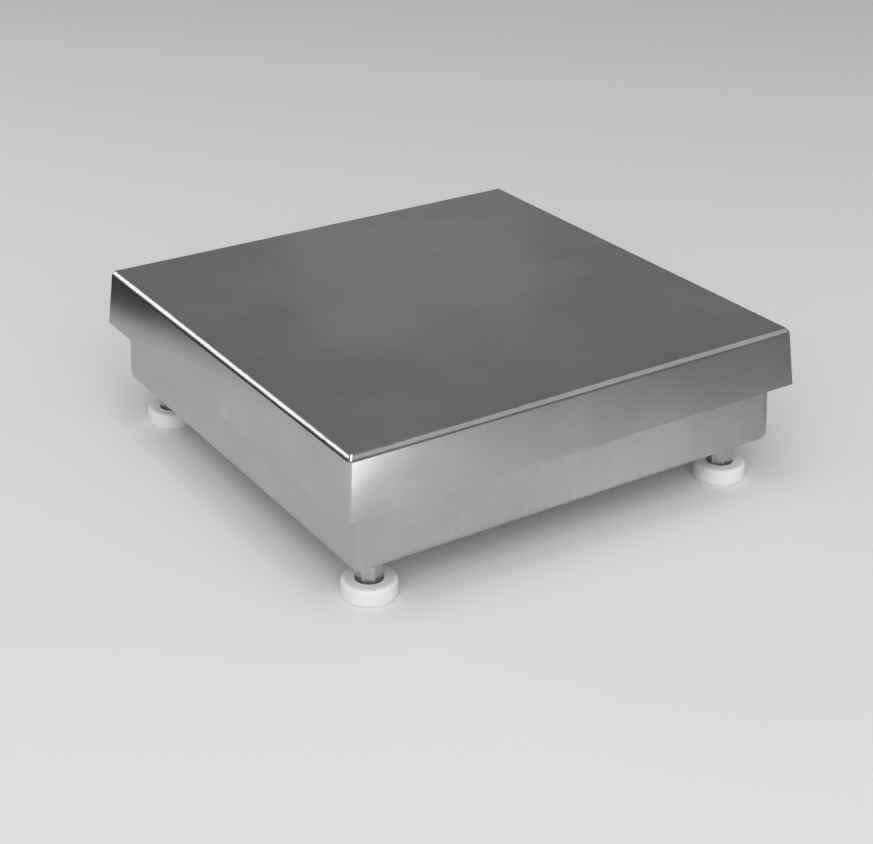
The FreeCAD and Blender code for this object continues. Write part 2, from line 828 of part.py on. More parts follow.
def rounded_path(points, name):
    """Straight runs joined by tangent arcs, each arc as large as its two runs allow."""
    parts = []
    here = points[0]
    for before, corner, after in zip(points, points[1:], points[2:]):
        inward, outward = (corner - before).normalize(), (after - corner).normalize()
        turn = math.acos(max(-1, min(1, inward.dot(outward))))
        reach = arc_share * min((corner - before).Length, (after - corner).Length)
        radius = reach / math.tan(turn / 2)
        start, end = corner - inward * reach, corner + outward * reach
        middle_way = (outward - inward).normalize()
        centre = corner + middle_way * (radius / math.cos(turn / 2))
        middle = centre - middle_way * radius
        parts.append(Part.LineSegment(here, start).toShape())
        parts.append(Part.Arc(start, middle, end).toShape())
        here = end
        print(f"{name}: turn {math.degrees(turn):.0f} degrees, radius {radius:.1f} mm")
    parts.append(Part.LineSegment(here, points[-1]).toShape())
    return Part.Wire(parts)


def make_lead():
    route = lead_route()
    path = rounded_path(route, "cell lead")
    first = (route[1] - route[0]).normalize()
    section = Part.Wire([Part.makeCircle(lead_diameter / 2, route[0], first)])
    lead = path.makePipeShell([section], True, False)
    by_section = math.pi * lead_diameter ** 2 / 4 * path.Length
    print(f"cell lead: length {path.Length:.1f} mm")
    print(f"cell lead: volume {lead.Volume:.1f}, section by length {by_section:.1f}")
    return lead


def make_lead_gland():
    """The short brass gland in the cell's end face."""
    base = Vector(-cell_length / 2, 0, cell_bottom + lead_gland_height)
    axis = right * -1
    radius = lead_gland_flats / 2
    gland = chamfered_hexagon(lead_gland_flats, lead_gland_hex_length, base, axis, both=False)
    nose = Part.makeCone(
        radius, radius - lead_gland_taper, lead_gland_length - lead_gland_hex_length,
        base + axis * lead_gland_hex_length, axis,
    )
    return gland.fuse(nose).removeSplitter()


def clip_place():
    """The middle and the direction of the lead's long run on the floor, which the clip holds."""
    start, end = lead_route()[4:6]
    return (start + end) * 0.5, (end - start).normalize()


def make_lead_clip():
    """A saddle over the lead's long floor run, with a foot on each side."""
    middle, along = clip_place()
    half = clip_length / 2
    bore = lead_diameter / 2 + lead_fit
    outer = bore + clip_wall
    height = lead_diameter / 2 + clip_foot_height
    saddle = disc(2 * outer, clip_length, Vector(0, -half, height), back)
    post = block((-outer, outer), (-half, half), (0, height))
    foot = block((-outer - clip_foot, outer + clip_foot), (-half, half), (0, clip_foot_height))
    foot = foot.makeFillet(clip_foot_corner, edges_along(foot, up))
    clip = saddle.fuse(post).fuse(foot).removeSplitter()
    below = block((-2 * outer, 2 * outer), (-clip_length, clip_length), (-2 * outer, 0))
    run = disc(2 * bore, clip_length + 2 * overrun, Vector(0, -half - overrun, height), back)
    clip = clip.cut(below).cut(run)
    for side in (-1, 1):
        clip = clip.cut(drill(rivet_diameter, side * (outer + clip_foot / 2), 0, 0, clip_foot_height))
    clip.Placement = FreeCAD.Placement(Vector(middle.x, middle.y, pan_floor), FreeCAD.Rotation(back, along))
    return clip


def make_clip_rivets():
    middle, along = clip_place()
    across = along.cross(up)
    outer = lead_diameter / 2 + lead_fit + clip_wall
    head_top = pan_floor + clip_foot_height + rivet_head_height
    rivets = []
    for side in (-1, 1):
        spot = middle + across * (side * (outer + clip_foot / 2))
        base = Vector(spot.x, spot.y, pan_floor)
        head = disc(rivet_head_diameter, rivet_head_height, base + up * clip_foot_height)
        head = head.makeFillet(rivet_head_edge, edges_level(head, head_top))
        shank = disc(rivet_diameter - 2 * thread_clearance, clip_foot_height, base)
        rivets.append(head.fuse(shank).removeSplitter())
    return group(rivets)


# Feet

def make_foot_pad(x, y):
    """The white pad, turned with a recess for the hex and a snap groove for the stud's button."""
    gap = foot_running_gap
    pad = disc(foot_pad_diameter, foot_pad_height, Vector(x, y, 0))
    pad = pad.makeFillet(foot_pad_edge, edges_level(pad, foot_pad_height))
    pad = pad.makeFillet(foot_pad_base_edge, edges_level(pad, 0))
    recess_radius = foot_recess_diameter / 2
    recess = disc(foot_recess_diameter, foot_pad_height, Vector(x, y, foot_pad_floor))
    mouth = Part.makeCone(
        recess_radius, recess_radius + foot_recess_chamfer, foot_recess_chamfer,
        Vector(x, y, foot_pad_height - foot_recess_chamfer),
    )
    neck = disc(foot_neck_diameter + 2 * gap, foot_pad_floor, Vector(x, y, foot_button_low))
    button_height = foot_button_height + 2 * gap
    button = disc(foot_button_diameter + 2 * gap, button_height, Vector(x, y, foot_button_low - gap))
    return pad.cut(recess).cut(mouth).cut(neck).cut(button)


def make_foot_stud(x, y, turn):
    """The stud: snap button, neck, long hex and thread, in one piece."""
    stud = disc(foot_button_diameter, foot_button_height, Vector(x, y, foot_button_low))
    stud = stud.fuse(disc(foot_neck_diameter, foot_hex_low - foot_button_low, Vector(x, y, foot_button_low)))
    grip = chamfered_hexagon(hex_across_flats, foot_hex_length, Vector(x, y, foot_hex_low), turn=turn)
    stud = stud.fuse(grip)
    thread = disc(foot_thread_diameter, foot_thread_length, Vector(x, y, foot_hex_high))
    thread = thread.makeChamfer(foot_thread_chamfer, edges_level(thread, foot_hex_high + foot_thread_length))
    return stud.fuse(thread).removeSplitter()


# Build and export

os.makedirs("parts", exist_ok=True)


def export(node, shape):
    shape.exportStep(f"parts/{node}.step")
    print(f"{node}: {len(shape.Solids)} solid, {shape.Volume / 1000:.2f} cm3, valid {shape.isValid()}")


nodes = {
    "platter": make_platter(),
    "platter_stiffeners": make_stiffeners(),
    "platter_locators": make_locators(),
    "base_pan": make_pan(),
    "base_rail_left": make_rail(-1),
    "base_rail_right": make_rail(1),
    "base_crossmember": make_crossmember(),
    "foot_bushes": make_foot_bushes(),
    "foot_lock_nuts": make_foot_lock_nuts(),
    "load_cell": make_load_cell(),
    "cell_gauge_coats": make_gauge_coats(),
    "cell_base_spacer": make_cell_spacer(-1, frame_top, base_spacer_height),
    "cell_base_bolts": make_cell_bolts(-1, frame_top - frame_sheet, up),
    "cell_top_spacer": make_cell_spacer(1, cell_top, top_spacer_height),
    "deck_bolts": make_cell_bolts(1, spine_bottom + deck_sheet, up * -1),
    "deck_spine": make_spine(),
    "deck_crossbar_left": make_crossbar(-1),
    "deck_crossbar_right": make_crossbar(1),
    "platter_bumpers": make_bumpers(),
    "bumper_studs": make_bumper_studs(),
    "bumper_nuts": make_bumper_nuts(),
    "overload_stop_bolts": make_stop_bolts(),
    "overload_stop_jam_nuts": make_stop_nuts(stop_jam_height, frame_top),
    "overload_stop_weld_nuts": make_stop_nuts(
        stop_weld_nut_height, frame_top - frame_sheet - stop_weld_nut_height,
    ),
    "level_bracket": make_level_bracket(),
    "level_cup": make_level_cup(),
    "level_lens": make_level_lens(),
    "level_screws": make_level_screws(),
    "socket_shell": make_socket_shell(),
    "socket_seal": make_socket_seal(),
    "socket_nut": make_socket_nut(),
    "socket_insert": make_socket_insert(),
    "socket_contacts": make_socket_contacts(),
    "cell_lead": make_lead(),
    "lead_gland": make_lead_gland(),
    "lead_clip": make_lead_clip(),
    "lead_clip_rivets": make_clip_rivets(),
}

for foot, turn in foot_turns.items():
    place_x = foot_pitch / 2 if foot.endswith("right") else -foot_pitch / 2
    place_y = foot_pitch / 2 if foot.startswith("rear") else -foot_pitch / 2
    nodes[f"foot_pad_{foot}"] = make_foot_pad(place_x, place_y)
    nodes[f"foot_stud_{foot}"] = make_foot_stud(place_x, place_y, turn)

for node, shape in nodes.items():
    export(node, shape)
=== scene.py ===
import math
import random

import bmesh
import bpy
from mathutils import Matrix, Vector


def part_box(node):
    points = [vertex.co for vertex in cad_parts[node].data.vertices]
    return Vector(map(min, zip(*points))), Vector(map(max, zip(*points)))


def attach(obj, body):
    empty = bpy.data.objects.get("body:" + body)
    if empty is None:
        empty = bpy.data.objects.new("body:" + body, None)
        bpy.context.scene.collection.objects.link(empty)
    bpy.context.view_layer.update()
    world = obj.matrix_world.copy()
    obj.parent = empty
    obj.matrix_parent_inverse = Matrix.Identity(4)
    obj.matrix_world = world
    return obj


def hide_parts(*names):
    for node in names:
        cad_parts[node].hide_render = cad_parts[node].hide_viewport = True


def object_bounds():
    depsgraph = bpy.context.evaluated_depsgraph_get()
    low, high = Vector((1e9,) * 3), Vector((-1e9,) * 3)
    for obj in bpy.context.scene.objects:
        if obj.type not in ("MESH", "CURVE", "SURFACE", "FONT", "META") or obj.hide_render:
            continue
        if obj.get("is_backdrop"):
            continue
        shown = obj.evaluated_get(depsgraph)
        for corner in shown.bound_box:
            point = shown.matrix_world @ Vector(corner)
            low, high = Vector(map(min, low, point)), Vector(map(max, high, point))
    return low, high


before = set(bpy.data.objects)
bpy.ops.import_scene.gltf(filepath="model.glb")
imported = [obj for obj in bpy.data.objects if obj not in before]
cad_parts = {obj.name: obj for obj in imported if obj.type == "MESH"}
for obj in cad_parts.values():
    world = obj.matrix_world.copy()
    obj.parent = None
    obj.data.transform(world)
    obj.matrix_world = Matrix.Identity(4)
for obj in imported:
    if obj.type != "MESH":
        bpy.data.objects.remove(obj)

solids_low, solids_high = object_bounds()

# Camera
# The view is from the front left corner, a little over a metre away and above the platter.
# It looks a little below the platter's middle, so the whole base sits in the middle of the frame.
_, platter_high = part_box("platter")
camera_azimuth = math.radians(-32.961)
camera_elevation = math.radians(26.790)
camera_roll = math.radians(0.146)
camera_distance = 1.05247
camera_slide = -0.00069
camera_drop = -0.07758
camera_lens = 69.807
back = Vector((
    math.sin(camera_azimuth) * math.cos(camera_elevation),
    -math.cos(camera_azimuth) * math.cos(camera_elevation),
    math.sin(camera_elevation),
))
right = Vector((math.cos(camera_azimuth), math.sin(camera_azimuth), 0))
up = back.cross(right)
platter_middle = Vector((0, 0, platter_high.z))
camera_place = platter_middle + back * camera_distance + right * camera_slide + up * camera_drop
rolled_right = right * math.cos(camera_roll) + up * math.sin(camera_roll)
rolled_up = up * math.cos(camera_roll) - right * math.sin(camera_roll)
camera_data = bpy.data.cameras.new("camera")
camera_data.lens = camera_lens
camera_data.sensor_width = 36
camera = bpy.data.objects.new("camera", camera_data)
turn = Matrix((rolled_right, rolled_up, back)).transposed().to_4x4()
camera.matrix_world = Matrix.Translation(camera_place) @ turn
bpy.context.scene.collection.objects.link(camera)
bpy.context.scene.camera = camera


# Base pan
# The lower tray is one blank of 1.5 mm stainless sheet, brushed from front to rear, folded up on
# four sides and in at the rim. Its corners are welded and ground to a radius that widens downwards.
class Wire:
    """One output of a material's nodes. Sums, products and the like of wires add Math nodes."""

    def __init__(self, paint, socket):
        self.paint = paint
        self.socket = socket

    def math(self, operation, first, second=0.0):
        return self.paint.node("Math", {"operation": operation}, {0: first, 1: second})

    def __add__(self, other):
        return self.math("ADD", self, other)

    def __sub__(self, other):
        return self.math("SUBTRACT", self, other)

    def __rsub__(self, other):
        return self.math("SUBTRACT", other, self)

    def __mul__(self, other):
        return self.math("MULTIPLY", self, other)

    def __truediv__(self, other):
        return self.math("DIVIDE", self, other)

    def __gt__(self, other):
        return self.math("GREATER_THAN", self, other)

    def __pow__(self, other):
        return self.math("POWER", self, other)

    __radd__ = __add__
    __rmul__ = __mul__

    def size(self):
        return self.math("ABSOLUTE", self)

    def fraction(self):
        return self.math("FRACT", self)

    def larger(self, other):
        return self.math("MAXIMUM", self, other)

    def fade(self, low, high, start=0.0, end=1.0):
        """This wire mapped smoothly from the range low to high onto start to end."""
        return self.paint.node(
            "MapRange", {"interpolation_type": "SMOOTHSTEP", "clamp": True},
            {"Value": self, "From Min": low, "From Max": high, "To Min": start, "To Max": end},
        )


class Paint:
    """The nodes of one material, from its shader back to the coordinates of the piece it is on."""

    def __init__(self, name):
        self.material = bpy.data.materials.new(name)
        self.material.use_nodes = True
        self.nodes = self.material.node_tree.nodes
        self.links = self.material.node_tree.links
        self.nodes.clear()
        self.here = self.node("TexCoord", {}, {}, "Object")
        self.facing = self.node("TexCoord", {}, {}, "Normal")

    def node(self, kind, settings, inputs, output=0):
        made = self.nodes.new("ShaderNode" + kind)
        for name, value in settings.items():
            setattr(made, name, value)
        for name, value in inputs.items():
            socket = made.inputs[name]
            if isinstance(value, Wire):
                self.links.new(value.socket, socket)
            elif isinstance(value, tuple) and socket.type == "RGBA":
                socket.default_value = (*value, 1)
            else:
                socket.default_value = value
        return Wire(self, made.outputs[output]) if len(made.outputs) else None

    def axes(self, vector):
        """The three parts of a vector, each as a wire."""
        outputs = self.node("SeparateXYZ", {}, {0: vector}).socket.node.outputs
        return [Wire(self, outputs[index]) for index in range(3)]

    def stretch(self, vector, by):
        return self.node("VectorMath", {"operation": "MULTIPLY"}, {0: vector, 1: by})

    def gap(self, vector, place):
        """The distance from a place, as a wire."""
        return self.node("VectorMath", {"operation": "DISTANCE"}, {0: vector, 1: place}, "Value")

    def noise(self, vector, scale, detail=3.0, roughness=0.5, distortion=0.0):
        """Noise about one half, as a wire. The scale is in cells a metre."""
        return self.node("TexNoise", {}, {
            "Vector": vector, "Scale": scale, "Detail": detail,
            "Roughness": roughness, "Distortion": distortion,
        })

    def blend(self, amount, first, second):
        """A colour between two colours, which may be wires themselves."""
        return self.node("Mix", {"data_type": "RGBA"}, {0: amount, 6: first, 7: second}, 2)

    def bump(self, height, depth):
        """A bump for the Normal socket, from a height about 0 to 1 and its depth in metres."""
        return self.node("Bump", {}, {"Height": height, "Distance": depth})

    def surface(self, **inputs):
        """The finished shader. Input names are the shader's own, with _ for a space."""
        names = {name.replace("_", " "): value for name, value in inputs.items()}
        shader = self.node("BsdfPrincipled", {}, names)
        self.node("OutputMaterial", {}, {"Surface": shader})
        return self.material


def shade_of(tone, by):
    """A lighter or darker shade of a colour."""
    return tuple(min(1.0, part * by) for part in tone)


def dress(material, *nodes):
    """Gives carried-over solids their finish."""
    for node in nodes:
        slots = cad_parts[node].data.materials
        slots.clear()
        slots.append(material)


def brushed_sheet(name, run, tone, roughness, painted_sheen_place):
    """A brushed, folded blank. Its colour is painted lighter about one place and darker away from it, as
    a painted sheen.

    The marks run along x or y, and up the walls that face that way.
    """
    paint = Paint(name)
    nx, ny, _ = paint.axes(paint.facing)
    turned = (nx if run == "x" else ny).size().fade(0.45, 0.90)

    def marks(width, length):
        across, along = 1 / width, 1 / length
        on_flat = (along, across, across) if run == "x" else (across, along, across)
        flat = paint.noise(paint.stretch(paint.here, on_flat), 1.0, 3.0, 0.6)
        folded = paint.noise(paint.stretch(paint.here, (across, across, along)), 1.0, 3.0, 0.6)
        return flat + (folded - flat) * turned

    fine = marks(width=0.0005, length=0.10)
    broad = marks(width=0.004, length=0.16)
    cloud = paint.noise(paint.here, 13.0, 4.0, 0.6)
    shade = 0.5 + (fine - 0.5) * 0.06 + (broad - 0.5) * 0.10 + (cloud - 0.5) * 0.50
    # Painted sheen: the colour is lighter about the given place and darker away from it.
    middle = paint.gap(paint.here, painted_sheen_place).fade(0.02, 0.19, 0.10, -0.06)
    colour = paint.blend((shade + middle).fade(0.38, 0.62), shade_of(tone, 0.93), shade_of(tone, 1.11))
    # The sheet isn't quite flat: its long, shallow waves outweigh the marks.
    waves = paint.noise(paint.here, 24.0, 1.0, 0.4)
    return paint.surface(
        Base_Color=colour, Metallic=1.0,
        Roughness=roughness + (fine - 0.5) * 0.03 + (broad - 0.5) * 0.03 + (cloud - 0.5) * 0.06,
        Normal=paint.bump(fine * 0.002 + broad * 0.005 + waves * 1.2, 0.00005),
    )


steel_tone = (0.520, 0.522, 0.530)
# The pan's colour is painted lighter about a place under its middle, as a painted sheen.
pan_steel = brushed_sheet("pan_steel", "y", steel_tone, roughness=0.28, painted_sheen_place=(0, -0.05, 0))
dress(pan_steel, "base_pan")


# Base frame
# Two folded rails and a crossmember of 2.5 mm mill-finish stainless, stitch-welded to each other
# and to the pan's floor. The welds have been brushed, and keep a straw-coloured tint beside them.
def new_piece(name, shape, material, body, slot, *nodes, smooth=40):
    """Makes a piece from a mesh, and sets its finish, its body and the solids that it replaces."""
    bmesh.ops.recalc_face_normals(shape, faces=shape.faces)
    data = bpy.data.meshes.new(name)
    shape.to_mesh(data)
    shape.free()
    data.materials.append(material)
    for face in data.polygons:
        face.use_smooth = True
    data.set_sharp_from_angle(angle=math.radians(smooth))
    piece = bpy.data.objects.new(name, data)
    bpy.context.scene.collection.objects.link(piece)
    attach(piece, body)
    if nodes:
        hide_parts(*nodes)


def lay_rows(shape, rows, looped=False):
    """Lays faces between closed rows of points. The ends are capped, or joined in a loop."""
    rows = [[shape.verts.new(point) for point in row] for row in rows]
    count = len(rows[0])
    following = rows[1:] + rows[:1] if looped else rows[1:]
    for low, high in zip(rows, following):
        for index in range(count):
            after = (index + 1) % count
            shape.faces.new((low[index], low[after], high[after], high[index]))
    if not looped:
        shape.faces.new(rows[0])
        shape.faces.new(rows[-1])


def lay_weld(shape, start, end, sideways, upwards, leg, dice):
    """A fillet weld along a corner, as overlapping ripples. Each leg lies on one of the two sheets."""
    run = end - start
    steps = max(4, 3 * round(run.length / weld_ripple))
    rows = []
    for step in range(steps + 1):
        share = step / steps
        # The bead tapers at its ends, and each ripple swells over three steps.
        taper = min(1.0, 6 * share + 0.45, 6 * (1 - share) + 0.45)
        reach = leg * taper * (0.84 + 0.16 * (step % 3) / 3 + 0.06 * dice.random())
        place = start + run * share
        row = [place - (sideways + upwards) * weld_root]
        for turn_step in range(7):
            angle = math.pi / 12 * turn_step
            swell = reach * (1 - weld_hollow * math.sin(2 * angle))
            row.append(place + sideways * swell * math.cos(angle) + upwards * swell * math.sin(angle))
        rows.append(row)
    lay_rows(shape, rows)


def mill_sheet(name, tone, marks=None):
    """Mill-finish sheet: faint rolling lines, soft stains, and a tint round welds where marks says."""
    paint = Paint(name)
    lines = paint.noise(paint.stretch(paint.here, (60, 900, 900)), 1.0, 3.0, 0.6)
    stain = paint.noise(paint.here, 30.0, 4.0, 0.6, 0.4)
    shade = lines * 0.4 + stain * 0.6
    colour = paint.blend(shade.fade(0.36, 0.64), shade_of(tone, 0.86), shade_of(tone, 1.10))
    if marks:
        straw = (0.44, 0.34, 0.20)
        colour = paint.blend(marks(paint) * 0.55, colour, straw)
    return paint.surface(
        Base_Color=colour, Metallic=1.0, Roughness=0.30 + stain * 0.14,
        Normal=paint.bump(stain * 0.8 + lines * 0.2, 0.00006),
    )


weld_ripple = 0.0011
weld_root = 0.0002
weld_hollow = 0.22
weld_leg = 0.0032
small_weld_leg = 0.00256
stitch_length = 0.024
stitches = (-0.108, -0.052, 0.052, 0.108)
rail_low, rail_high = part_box("base_rail_right")
bar_low, bar_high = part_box("base_crossmember")


def joint_tint(paint, across, along, reach):
    """Where the heat of the welds reached, about the four joints at plus and minus across, along."""
    x, y, _ = paint.axes(paint.here)
    from_joint = (x.size() - across).size().larger((y.size() - along).size())
    ragged = from_joint + (paint.noise(paint.here, 90.0) - 0.5) * 0.006
    return 1 - ragged.fade(0.003, reach)


def weld_tint(paint):
    return joint_tint(paint, rail_low.x, bar_high.y, 0.011)


frame_steel = mill_sheet("frame_steel", (0.50, 0.50, 0.505), weld_tint)
dress(frame_steel, "base_rail_left", "base_rail_right", "base_crossmember")

paint = Paint("weld_metal")
heat = paint.noise(paint.here, 160.0, 2.0)
weld_metal = paint.surface(
    Base_Color=paint.blend(heat.fade(0.35, 0.65), (0.46, 0.42, 0.36), (0.60, 0.58, 0.55)),
    Metallic=1.0, Roughness=0.28 + heat * 0.16, Normal=paint.bump(heat, 0.00008),
)

dice = random.Random(7)
up_z = Vector((0, 0, 1))
shape = bmesh.new()
for side in (-1, 1):
    outwards = Vector((side, 0, 0))
    for middle in stitches:
        for x, sideways in ((side * rail_low.x, -outwards), (side * rail_high.x, outwards)):
            start = Vector((x, middle - stitch_length / 2, rail_low.z))
            end = Vector((x, middle + stitch_length / 2, rail_low.z))
            lay_weld(shape, start, end, sideways, up_z, weld_leg, dice)
    for end_side in (-1, 1):
        x, y = side * rail_low.x, end_side * bar_high.y
        start = Vector((x, y, bar_low.z + 0.001))
        end = Vector((x, y, bar_high.z - 0.004))
        lay_weld(shape, start, end, Vector((0, end_side, 0)), -outwards, weld_leg, dice)
new_piece("base_welds", shape, weld_metal, "base", "frame_steel", smooth=70)


# Foot bushes and lock nuts
# Each foot screws into a turned stainless bush that is welded through the rail, and a thin hexagon
# nut under the pan locks it. Bush and nut are bright turned bar.
def turned_metal(name, tone, roughness):
    """Bright bar stock: fine tool marks round the piece, and light handling marks."""
    paint = Paint(name)
    marks = paint.noise(paint.stretch(paint.here, (90, 90, 5200)), 1.0, 2.0, 0.6)
    handling = paint.noise(paint.here, 240.0, 3.0, 0.6)
    colour = paint.blend(handling.fade(0.34, 0.66), shade_of(tone, 0.90), shade_of(tone, 1.08))
    return paint.surface(
        Base_Color=colour, Metallic=1.0,
        Roughness=roughness + (marks - 0.5) * 0.10 + (handling - 0.5) * 0.12,
        Normal=paint.bump(marks * 0.5 + handling * 0.5, 0.00003),
    )


fastener_steel = turned_metal("fastener_steel", (0.60, 0.60, 0.60), roughness=0.24)
dress(fastener_steel, "foot_bushes", "foot_lock_nuts")

_, bush_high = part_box("foot_bushes")
pad_low, pad_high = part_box("foot_pad_front_right")
foot_reach = (pad_low.x + pad_high.x) / 2
bush_neck = 0.0060
bush_weld_leg = 0.0022
bush_weld_steps = 96
corners = [(side_x, side_y) for side_x in (-1, 1) for side_y in (-1, 1)]
shape = bmesh.new()
for side_x, side_y in corners:
    rows = []
    for step in range(bush_weld_steps):
        angle = 2 * math.pi * step / bush_weld_steps
        outwards = Vector((math.cos(angle), math.sin(angle), 0))
        root = Vector((side_x * foot_reach, side_y * foot_reach, rail_high.z)) + outwards * bush_neck
        reach = bush_weld_leg * (0.84 + 0.14 * (step % 3) / 2 + 0.05 * dice.random())
        rise = min(reach, bush_high.z - rail_high.z)
        rows.append([
            root - (outwards + up_z) * weld_root, root + outwards * reach,
            root + outwards * reach * 0.62 + up_z * rise * 0.62, root + up_z * rise,
        ])
    lay_rows(shape, rows, looped=True)
new_piece("bush_welds", shape, weld_metal, "base", "frame_steel", smooth=70)


# Signal socket
# A panel socket with an M12 thread stands in the pan's rear wall. Its shell is nickel-plated brass,
# with a black seal under the flange, a thin nut inside, a black insert and four gold-plated pins.
def moulded(name, tone, roughness, grain, depth=0.00003):
    """A moulded plastic or rubber: an even fine grain with a slightly cloudy sheen."""
    paint = Paint(name)
    pebble = paint.noise(paint.here, grain, 2.0, 0.6)
    cloud = paint.noise(paint.here, grain / 12, 3.0, 0.5)
    colour = paint.blend(cloud.fade(0.3, 0.7), shade_of(tone, 0.93), shade_of(tone, 1.05))
    return paint.surface(
        Base_Color=colour, Roughness=roughness + (cloud - 0.5) * 0.16,
        Normal=paint.bump(pebble, depth),
    )


shell_low, shell_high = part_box("socket_shell")
_, seal_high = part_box("socket_seal")
socket_middle = (shell_low + shell_high) / 2
flange_thickness = 0.0020
flange_face = seal_high.y + flange_thickness
nose_thread_pitch = 0.0010
nose_thread_start = 0.0004
nose_bore_radius = 0.0047
nose_lip = 0.0008

paint = Paint("socket_nickel")
x, y, z = paint.axes(paint.here)
angle = paint.node("Math", {"operation": "ARCTAN2"}, {0: z - socket_middle.z, 1: x - socket_middle.x})
thread_turns = y / nose_thread_pitch + angle / (2 * math.pi)
ridge = (thread_turns.fraction() - 0.5).size() * 2
radius = paint.gap(paint.stretch(paint.here, (1, 0, 1)), (socket_middle.x, 0, socket_middle.z))
on_nose = (y > flange_face + nose_thread_start) * (radius > nose_bore_radius + nose_lip)
smudge = paint.noise(paint.here, 300.0, 3.0)
socket_nickel = paint.surface(
    Base_Color=paint.blend(smudge.fade(0.35, 0.65), (0.62, 0.60, 0.56), (0.74, 0.72, 0.68)),
    Metallic=1.0, Roughness=0.18 + smudge * 0.10,
    Normal=paint.bump(ridge * on_nose + smudge * 0.02, 0.0005),
)
dress(socket_nickel, "socket_shell", "socket_nut")
dress(moulded("seal_rubber", (0.030, 0.030, 0.031), roughness=0.55, grain=2600), "socket_seal")
dress(moulded("insert_plastic", (0.034, 0.034, 0.036), roughness=0.38, grain=3000), "socket_insert")

paint = Paint("contact_gold")
wipe = paint.noise(paint.stretch(paint.here, (3000, 200, 3000)), 1.0, 2.0)
contact_gold = paint.surface(
    Base_Color=paint.blend(wipe.fade(0.3, 0.7), (0.78, 0.57, 0.24), (0.92, 0.72, 0.36)),
    Metallic=1.0, Roughness=0.16 + wipe * 0.12,
)
dress(contact_gold, "socket_contacts")


# Load cell
# A milled aluminium beam with a dumb-bell opening, clear-anodised, bolted to the crossmember at one
# end. Soft white silicone covers the gauges above and below its thin webs.
def milled_aluminium(name, tone, pass_width, roughness):
    """Milled aluminium: arcs left by the cutter, pass by pass, under a thin clear anodised skin."""
    paint = Paint(name)
    x, y, z = paint.axes(paint.here)
    _, ny, _ = paint.axes(paint.facing)
    on_side = ny.size() > 0.7
    over = z * on_side + y * (1 - on_side)
    bowed = x + over * over * 16
    ridge = ((bowed / pass_width).fraction() - 0.5).size() * 2
    stain = paint.noise(paint.here, 60.0, 3.0, 0.5)
    shade = ridge * 0.35 + stain * 0.65
    colour = paint.blend(shade.fade(0.25, 0.70), shade_of(tone, 0.90), shade_of(tone, 1.06))
    return paint.surface(
        Base_Color=colour, Metallic=1.0, Roughness=roughness + stain * 0.12,
        Coat_Weight=0.15 + stain * 0.1, Coat_Roughness=0.3,
        Normal=paint.bump(ridge, 0.000012),
    )


cell_aluminium = milled_aluminium(
    "cell_aluminium", (0.74, 0.75, 0.76), pass_width=0.0011, roughness=0.26,
)
dress(cell_aluminium, "load_cell")
spacer_aluminium = milled_aluminium(
    "spacer_aluminium", (0.66, 0.67, 0.68), pass_width=0.0023, roughness=0.34,
)
dress(spacer_aluminium, "cell_base_spacer", "cell_top_spacer")
dress(fastener_steel, "cell_base_bolts", "deck_bolts")

paint = Paint("gauge_silicone")
lump = paint.noise(paint.here, 260.0, 2.0, 0.4, 0.6)
dust = paint.noise(paint.here, 1500.0, 2.0)
gauge_silicone = paint.surface(
    Base_Color=paint.blend(dust.fade(0.45, 0.75), (0.80, 0.79, 0.73), (0.62, 0.60, 0.54)),
    Roughness=0.34 + dust * 0.2, Normal=paint.bump(lump, 0.0007),
)
dress(gauge_silicone, "cell_gauge_coats")


# Inner lead
# The cell's four-core lead leaves a brass gland, dips to the pan's floor under a nylon clip on two
# rivets, and runs along the left rail to the socket. Its jacket is dark grey and slightly ribbed.
paint = Paint("lead_jacket")
rib = paint.noise(paint.here, 900.0, 2.0, 0.6)
rub = paint.noise(paint.here, 70.0, 3.0)
lead_jacket = paint.surface(
    Base_Color=paint.blend(rub.fade(0.35, 0.7), (0.050, 0.050, 0.053), (0.095, 0.095, 0.098)),
    Roughness=0.42 + rub * 0.18, Normal=paint.bump(rib, 0.00008),
)
dress(lead_jacket, "cell_lead")
dress(moulded("clip_nylon", (0.70, 0.69, 0.62), roughness=0.42, grain=1800), "lead_clip")
dress(fastener_steel, "lead_clip_rivets")
dress(turned_metal("gland_brass", (0.74, 0.60, 0.34), roughness=0.22), "lead_gland")


# Deck frame
# A spine channel on the cell's live end carries two tapered crossbars. All three are folded from
# 2.5 mm mill-finish stainless and welded to each other where they meet.
spine_low, spine_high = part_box("deck_spine")
deck_sheet = 0.0025


def deck_tint(paint):
    return joint_tint(paint, spine_high.x, spine_high.y, 0.012)


deck_steel = mill_sheet("deck_steel", (0.52, 0.52, 0.525), deck_tint)
dress(deck_steel, "deck_spine", "deck_crossbar_left", "deck_crossbar_right")
shape = bmesh.new()
for side in (-1, 1):
    outwards = Vector((side, 0, 0))
    x = side * spine_high.x
    for side_y in (-1, 1):
        y = side_y * spine_high.y
        start = Vector((x, y, spine_low.z + 0.005))
        end = Vector((x, y, spine_high.z - 0.0005))
        lay_weld(shape, start, end, Vector((0, side_y, 0)), -outwards, weld_leg, dice)
        start = Vector((x, y - side_y * deck_sheet * 1.8, spine_low.z + deck_sheet))
        end = Vector((x, 0, spine_low.z + deck_sheet))
        lay_weld(shape, start, end, -outwards, up_z, small_weld_leg, dice)
new_piece("deck_welds", shape, weld_metal, "deck", "frame_steel", smooth=70)


# Rubber bumpers
# Four black moulded cones that the platter rests on. Each has a threaded steel stud, and is held
# under the crossbar's web by a hexagon nut.
def round_point(middle, radius, angle, z):
    """A point round a vertical axis."""
    return middle.x + radius * math.cos(angle), middle.y + radius * math.sin(angle), z


